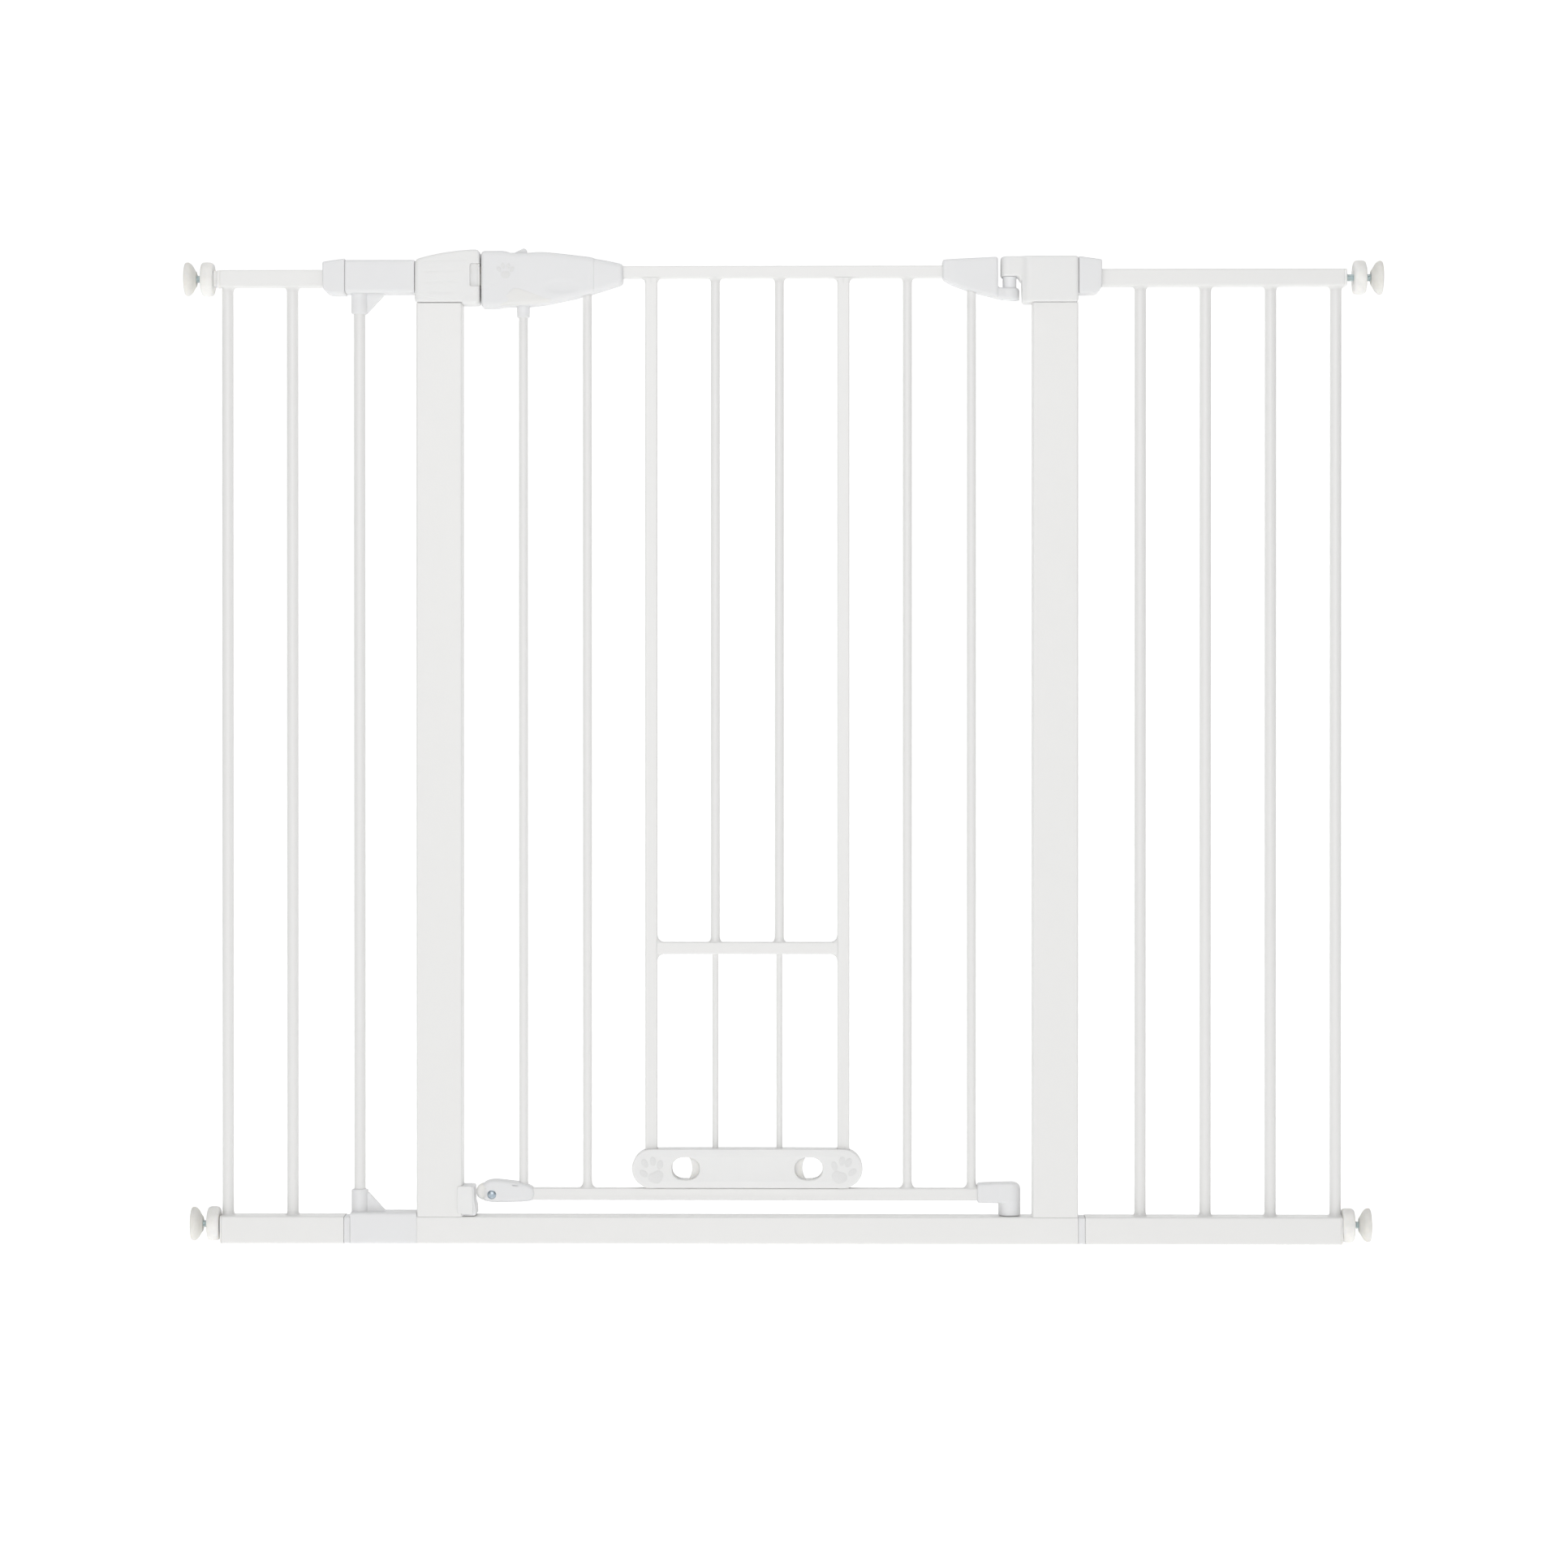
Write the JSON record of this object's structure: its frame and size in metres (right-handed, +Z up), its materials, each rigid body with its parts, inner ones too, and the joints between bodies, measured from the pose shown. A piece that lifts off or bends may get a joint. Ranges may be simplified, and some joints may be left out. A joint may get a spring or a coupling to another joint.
{
  "type": "pet gate",
  "caption": "Pressure-mounted pet gate with a lift-and-swing barred door, a small lift-up pet door, side extensions and hand-screwed wall pads.",
  "frame": {"origin": "on the floor, midway between the two upper wall pads' faces and at the gate's mid depth", "axes": "+X along the gate towards the hinge side, -Y the front with the handle's emblem, +Z up"},
  "size_m": [1.2656, 0.037, 1.0515],
  "materials": {
    "powder_white": "satin powder coat, fine orange peel",
    "cool_plastic": "moulded, fine grain",
    "ivory_plastic": "moulded nylon, slightly waxy",
    "pad_rubber": "soft, matt",
    "zinc_steel": "zinc plated",
    "grey_print": "printed, slightly raised"
  },
  "bodies": {
    "frame": {"frame_bottom_rail": "powder_white", "left_post": "powder_white", "right_post": "powder_white", "latch_post_cap": "cool_plastic", "hinge_post_cap": "cool_plastic", "latch_catch": "cool_plastic", "pivot_bush": "ivory_plastic", "cap_screws": "zinc_steel", "single_bar_top_sleeve": "cool_plastic", "single_bar_bottom_sleeve": "cool_plastic", "rail_collars": "cool_plastic", "bottom_spacers": "cool_plastic", "left_ext_top_rail": "powder_white", "left_ext_bottom_rail": "powder_white", "right_ext_top_rail": "powder_white", "right_ext_bottom_rail": "powder_white", "extension_bars": "powder_white", "rail_end_plugs": "ivory_plastic", "rail_joiners": "zinc_steel"},
    "hinge_pins": {"top_hinge_pin": "cool_plastic", "bottom_pivot_pin": "zinc_steel"},
    "door": {"door_top_rail": "powder_white", "door_bottom_rail": "powder_white", "door_bars": "powder_white", "door_square_tubes": "powder_white", "door_guide_tubes": "powder_white", "pet_door_crossbar": "powder_white", "latch_housing_front": "cool_plastic", "latch_housing_rear": "cool_plastic", "latch_bar_socket": "cool_plastic", "handle_emblem": "grey_print", "handle_screws": "zinc_steel", "hinge_arm": "cool_plastic", "hinge_foot": "cool_plastic", "bottom_latch_cover": "cool_plastic", "bottom_latch_nose": "ivory_plastic", "bottom_latch_rivet": "zinc_steel"},
    "latch": {"latch_button": "cool_plastic", "latch_bolt": "ivory_plastic", "latch_spring": "zinc_steel"},
    "pet_door": {"pet_door_front_plate": "cool_plastic", "pet_door_rear_plate": "cool_plastic", "pet_door_rods": "powder_white", "paw_emblems": "grey_print", "pet_door_screws": "zinc_steel"},
    "pinch_left": {"pinch_left": "ivory_plastic"},
    "pinch_right": {"pinch_right": "ivory_plastic"},
    "wheel_left_top": {"hand_wheel_left_top": "ivory_plastic"},
    "foot_left_top": {"spindle_left_top": "zinc_steel", "wall_pad_left_top": "pad_rubber"},
    "wheel_left_bottom": {"hand_wheel_left_bottom": "ivory_plastic"},
    "foot_left_bottom": {"spindle_left_bottom": "zinc_steel", "wall_pad_left_bottom": "pad_rubber"},
    "wheel_right_top": {"hand_wheel_right_top": "ivory_plastic"},
    "foot_right_top": {"spindle_right_top": "zinc_steel", "wall_pad_right_top": "pad_rubber"},
    "wheel_right_bottom": {"hand_wheel_right_bottom": "ivory_plastic"},
    "foot_right_bottom": {"spindle_right_bottom": "zinc_steel", "wall_pad_right_bottom": "pad_rubber"}
  },
  "joints": [
    {"name": "gate_swing", "type": "hinge", "parent": "frame", "child": "hinge_pins", "pos_m": [0.2396, 0, 0.5], "axis": [0, 0, 1], "range_deg": [-90, 90]},
    {"name": "gate_lift", "type": "slide", "parent": "hinge_pins", "child": "door", "axis": [0, 0, 1], "range_m": [0, 0.009]},
    {"name": "latch_release", "type": "slide", "parent": "door", "child": "latch", "axis": [1, 0, 0], "range_m": [0, 0.005], "stiffness_N_per_m": 300, "springref_m": -0.005, "deforming": ["latch_spring"]},
    {"name": "pet_door_lift", "type": "slide", "parent": "door", "child": "pet_door", "axis": [0, 0, 1], "range_m": [0, 0.195]},
    {"name": "pinch_left_squeeze", "type": "slide", "parent": "pet_door", "child": "pinch_left", "axis": [1, 0, 0], "range_m": [0, 0.006], "stiffness_N_per_m": 250, "springref_m": -0.004},
    {"name": "pinch_right_squeeze", "type": "slide", "parent": "pet_door", "child": "pinch_right", "axis": [-1, 0, 0], "range_m": [0, 0.006], "stiffness_N_per_m": 250, "springref_m": -0.004},
    {"name": "wheel_turn_left_top", "type": "hinge", "parent": "frame", "child": "wheel_left_top", "pos_m": [-0.6087, 0, 1.02], "axis": [-1, 0, 0], "range_deg": [-540, 2160]},
    {"name": "foot_reach_left_top", "type": "slide", "parent": "frame", "child": "foot_left_top", "axis": [-1, 0, 0], "range_m": [-0.00187, 0.0075]},
    {"name": "wheel_turn_left_bottom", "type": "hinge", "parent": "frame", "child": "wheel_left_bottom", "pos_m": [-0.6026, 0, 0.0195], "axis": [-1, 0, 0], "range_deg": [-540, 2160]},
    {"name": "foot_reach_left_bottom", "type": "slide", "parent": "frame", "child": "foot_left_bottom", "axis": [-1, 0, 0], "range_m": [-0.00187, 0.0075]},
    {"name": "wheel_turn_right_top", "type": "hinge", "parent": "frame", "child": "wheel_right_top", "pos_m": [0.6087, 0, 1.02], "axis": [1, 0, 0], "range_deg": [-540, 2160]},
    {"name": "foot_reach_right_top", "type": "slide", "parent": "frame", "child": "foot_right_top", "axis": [1, 0, 0], "range_m": [-0.00187, 0.0075]},
    {"name": "wheel_turn_right_bottom", "type": "hinge", "parent": "frame", "child": "wheel_right_bottom", "pos_m": [0.597, 0, 0.0195], "axis": [1, 0, 0], "range_deg": [-540, 2160]},
    {"name": "foot_reach_right_bottom", "type": "slide", "parent": "frame", "child": "foot_right_bottom", "axis": [1, 0, 0], "range_m": [-0.00187, 0.0075]}
  ],
  "couplings": [
    {"joint": "foot_reach_left_top", "follows": "wheel_turn_left_top", "m_per_rad": 0.00019894},
    {"joint": "foot_reach_left_bottom", "follows": "wheel_turn_left_bottom", "m_per_rad": 0.00019894},
    {"joint": "foot_reach_right_top", "follows": "wheel_turn_right_top", "m_per_rad": 0.00019894},
    {"joint": "foot_reach_right_bottom", "follows": "wheel_turn_right_bottom", "m_per_rad": 0.00019894}
  ]
}
